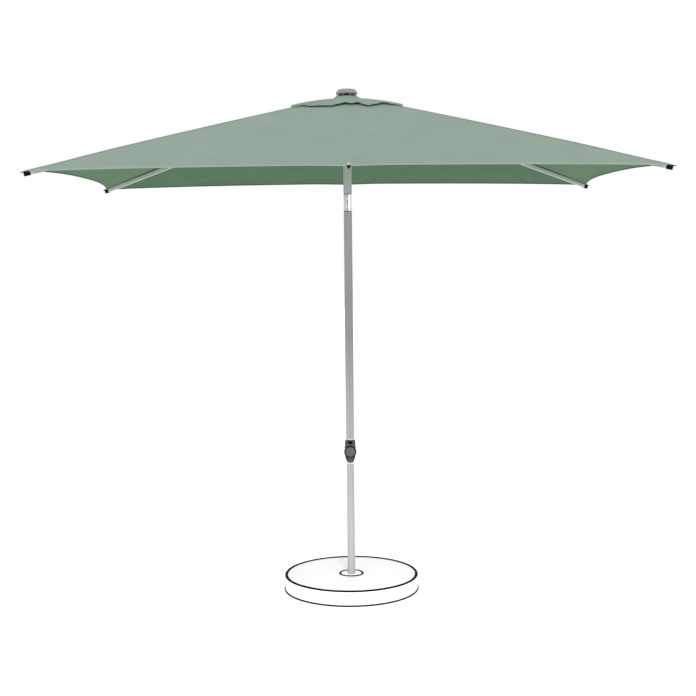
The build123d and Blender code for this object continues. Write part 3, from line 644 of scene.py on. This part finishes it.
def half_flap(side, number):
    """Half of a quarter of the vent flap's skirt, with its turned-down hem."""
    sx, sy = QUADRANTS[number]
    share = np.linspace(0, 1, 40)
    if side == "long":
        rim_x, rim_y = FLAP_X * share, np.full_like(share, FLAP_Y)
        place = sx * rim_x
        folds = NEAR_FOLDS if sy < 0 else FAR_FOLDS
    else:
        rim_x, rim_y = np.full_like(share, FLAP_X), FLAP_Y * share
        place = sy * rim_y
        folds = SIDE_FOLDS
    lift = lifted(folds, place) * FOLD_SHARE
    slope = FALL / (HALF_Y if side == "long" else HALF_X)
    drawn_in = RUN_UP * lift
    if side == "long":
        rim_y = rim_y - drawn_in
    else:
        rim_x = rim_x - drawn_in
    angle = np.arctan2(rim_y, rim_x)
    top_x, top_y = NECK * np.cos(angle), NECK * np.sin(angle)
    t = np.linspace(0, 1, 34)[:, None]
    x = top_x + (rim_x - top_x) * t
    y = top_y + (rim_y - top_y) * t
    grow = smooth(np.clip((t - 0.42) / 0.58, 0, 1))
    bulge = BULGE * np.sin(math.pi * t)
    z = NECK_Z + (FLAP_Z + slope * drawn_in - NECK_Z) * t + LIFT_OFF * lift * grow + bulge
    valance = VALANCE + CORNER_VALANCE * share ** 4
    down = np.linspace(0.25, 1, 4)[:, None]
    flare = 1 + 0.004 * np.sin(down * math.pi / 2)
    x = np.concatenate([x, rim_x * flare])
    y = np.concatenate([y, rim_y * flare])
    z = np.concatenate([z, z[-1:] - valance * down])
    grid = np.stack([sx * x, sy * y, z], -1)
    run = np.broadcast_to((rim_x if side == "long" else rim_y), z.shape)
    depth = np.concatenate([(1 - t) * 0.2 + 0.012, 0.012 * (1 - down)])
    uv = np.stack([run, np.broadcast_to(depth, z.shape)], -1)
    flap = cloth_sheet(f"vent_{side}_{number}", grid, np.full(z.shape, CLOTH), uv,
                       vent_cloth, under_cloth[side])
    attach(flap, number)


for number in QUADRANTS:
    for side in SIDES:
        half_panel(side, number)
    ridge_seam(number)
for side, number in (("long", 4), ("long", 2), ("short", 1), ("short", 3)):
    mid_seam(side, number)
for number in QUADRANTS:
    for side in SIDES:
        half_flap(side, number)
neck_profile = [(0.0245, 2.6802), (0.0560, 2.6808), (0.0590, 2.6800), (0.0640, 2.6766),
                (0.0760, 2.6706), (0.0900, 2.6656), (0.0895, 2.6640), (0.0755, 2.6690),
                (0.0630, 2.6752), (0.0560, 2.6792), (0.0245, 2.6790)]
neck = revolve("vent_neck", neck_profile, vent_cloth)
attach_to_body(neck, "canopy_mast")
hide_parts("vent_flap")
for number in QUADRANTS:
    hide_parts(f"canopy_quarter_{number}")

# ------------------------------------------------------------------ finishes of the CAD nodes
# painted shade for the knob's grip edge
EDGE_SHADE = (0.012, 0.012, 0.011)
FINISH = {}


def finish(slot, maker, *settings, **named):
    FINISH[slot] = maker(slot, *settings, **named)


finish("cover_white", solid, (0.97, 0.97, 0.965), 0.35, vary=0.01, scale=8, coat=0.1)
finish("concrete", solid, (0.5, 0.49, 0.47), 0.9, vary=0.2, scale=60, depth=0.0006)
finish("plate_steel", solid, (0.05, 0.05, 0.05), 0.5, metallic=0.6, vary=0.15)
finish("rubber_black", solid, (0.006, 0.006, 0.006), 0.8, vary=0.25, depth=0.0002, specular=0.05)
finish("socket_steel", solid, (0.55, 0.55, 0.55), 0.35, metallic=1.0, stretch=(1, 1, 0.05))
# the poles' tones change with height, painting the light and shade along them
finish("pole_light", drawn_tube, (0.46, 0.46, 0.455), (0.47, 0.47, 0.465), 0.1, 0.72)
finish("pole_silver", drawn_tube, (0.44, 0.44, 0.435), (0.29, 0.29, 0.285), 0.9, 1.4,
       (0.37, 0.37, 0.365))
finish("black_plastic", solid, (0.02, 0.02, 0.02), 0.5, vary=0.2, depth=0.0001)
finish("collar_grey", collar_material, (0.10, 0.10, 0.094))
finish("bush_light", solid, (0.8, 0.8, 0.79), 0.4, vary=0.05)
finish("brass", solid, (0.75, 0.55, 0.28), 0.35, metallic=1.0)
finish("chrome", knuckle_material, (0.78, 0.78, 0.77), (0.58, 0.58, 0.57))
finish("pin_steel", solid, (0.55, 0.55, 0.55), 0.3, metallic=1.0, vary=0.1)
# the knob's last ring is painted shade on its grip edge
finish("knob_grey", knob_material, KNOB_Z,
       [(0, (0.122, 0.124, 0.116)), (0.0215, (0.19, 0.192, 0.182)), (0.0248, EDGE_SHADE)])
finish("finial_grey", solid, (0.27, 0.285, 0.26), 0.55, vary=0.08, depth=0.0001, specular=0.3)
finish("runner_grey", solid, (0.3, 0.3, 0.3), 0.45, vary=0.1, depth=0.0001)
finish("rib_silver", solid, (0.47, 0.50, 0.45), 0.6, vary=0.05, specular=0.2)
finish("tip_black", solid, (0.006, 0.006, 0.006), 0.8, vary=0.2, depth=0.0001, specular=0.05)
for sub in frame["record"]["subparts"]:
    if sub["material_slot"] in FINISH:
        node = NODES[sub["node"]]
        node.data.materials.clear()
        node.data.materials.append(FINISH[sub["material_slot"]].material)
finial_foot = finial_material("finial_foot", (0.4, 0.42, 0.4))
# painted light: the tube's greenish tone stands for the light the green canopy throws onto it
canopy_tube = drawn_tube("canopy_tube", (0.46, 0.494, 0.45), (0.46, 0.494, 0.45), 2.1, 2.6)
NODES["finial_base"].data.materials[0] = finial_foot.material
NODES["canopy_pole"].data.materials[0] = canopy_tube.material
for number in (4, 2):
    hem_tab(number)


def piping(name, radius, height, thick):
    """Black piping round the weighted base."""
    turns = [2 * math.pi * k / 20 for k in range(20)]
    ring = [(radius + thick * math.cos(a), height + thick * math.sin(a)) for a in turns]
    obj = revolve(name, ring, FINISH["rubber_black"].material, 160)
    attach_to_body(obj, "base")


cover_high, seal_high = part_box("base_cover")[1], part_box("cover_seal")[1]
piping("rim_piping", cover_high.x - 0.0050, cover_high.z + 0.0010, 0.0042)
piping("foot_piping", cover_high.x + 0.0012, 0.0042, 0.0042)
piping("neck_piping", seal_high.x - 0.0035, seal_high.z - 0.0005, 0.0034)

# ------------------------------------------------------------------ studio, light and camera
scene = bpy.context.scene
scene.view_settings.view_transform = "Standard"
world = bpy.data.worlds.new("studio")
scene.world = world
world.use_nodes = True
world.node_tree.nodes["Background"].inputs["Color"].default_value = (1, 1, 1, 1)
world.node_tree.nodes["Background"].inputs["Strength"].default_value = 1.0

bpy.ops.mesh.primitive_plane_add(size=60.0, location=(0, 0, -0.0005))
floor = bpy.context.active_object
floor.name = "floor"
floor_nodes = Nodes("floor_white")      # slightly emissive, so that it meets the white world
for socket, value in (("Base Color", (0.5, 0.5, 0.5, 1)), ("Roughness", 0.9),
                      ("Specular IOR Level", 0.0), ("Emission Color", (1, 1, 1, 1)),
                      ("Emission Strength", 0.75)):
    floor_nodes.shader.inputs[socket].default_value = value
floor.data.materials.append(floor_nodes.material)


SPOT_ANGLE = 0.34                   # radians


def soft_light(name, place, aim, size, power, kind="AREA"):
    light = bpy.data.lights.new(name, kind)
    if kind == "SPOT":
        light.shadow_soft_size = size
        light.spot_size = SPOT_ANGLE
        light.spot_blend = 0.5
    else:
        light.size = size
    light.energy = power
    obj = bpy.data.objects.new(name, light)
    obj.location = place
    obj.rotation_euler = (Vector(aim) - Vector(place)).to_track_quat("-Z", "Y").to_euler()
    obj.visible_camera = False
    scene.collection.objects.link(obj)


soft_light("key", (-3.5, -6.0, 4.5), (0, 0, 1.6), 3.0, 60)
soft_light("fill", (4.0, -5.0, 3.0), (0, 0, 1.2), 3.0, 30)
soft_light("low", (0.5, -2.8, 1.7), (0, 0, 0.05), 0.3, 170, "SPOT")

EYE = Vector((-0.0428, -6.7165, 1.9048))
PITCH, YAW, ROLL = 0.0852, 0.0054, -0.0102
FOCAL = 1238.44 / 696 * 36
level = math.cos(PITCH)
forward = Vector((math.sin(YAW) * level, math.cos(YAW) * level, -math.sin(PITCH)))
right = Vector((math.cos(YAW), -math.sin(YAW), 0))
up = right.cross(forward)
turned = math.cos(ROLL) * right + math.sin(ROLL) * up
upright = -math.sin(ROLL) * right + math.cos(ROLL) * up
camera = bpy.data.objects.new("camera", bpy.data.cameras.new("camera"))
camera.data.sensor_width = 36
camera.data.lens = FOCAL
axes = Matrix((turned, upright, -forward)).transposed()
camera.matrix_world = Matrix.Translation(EYE) @ axes.to_4x4()
scene.collection.objects.link(camera)
scene.camera = camera
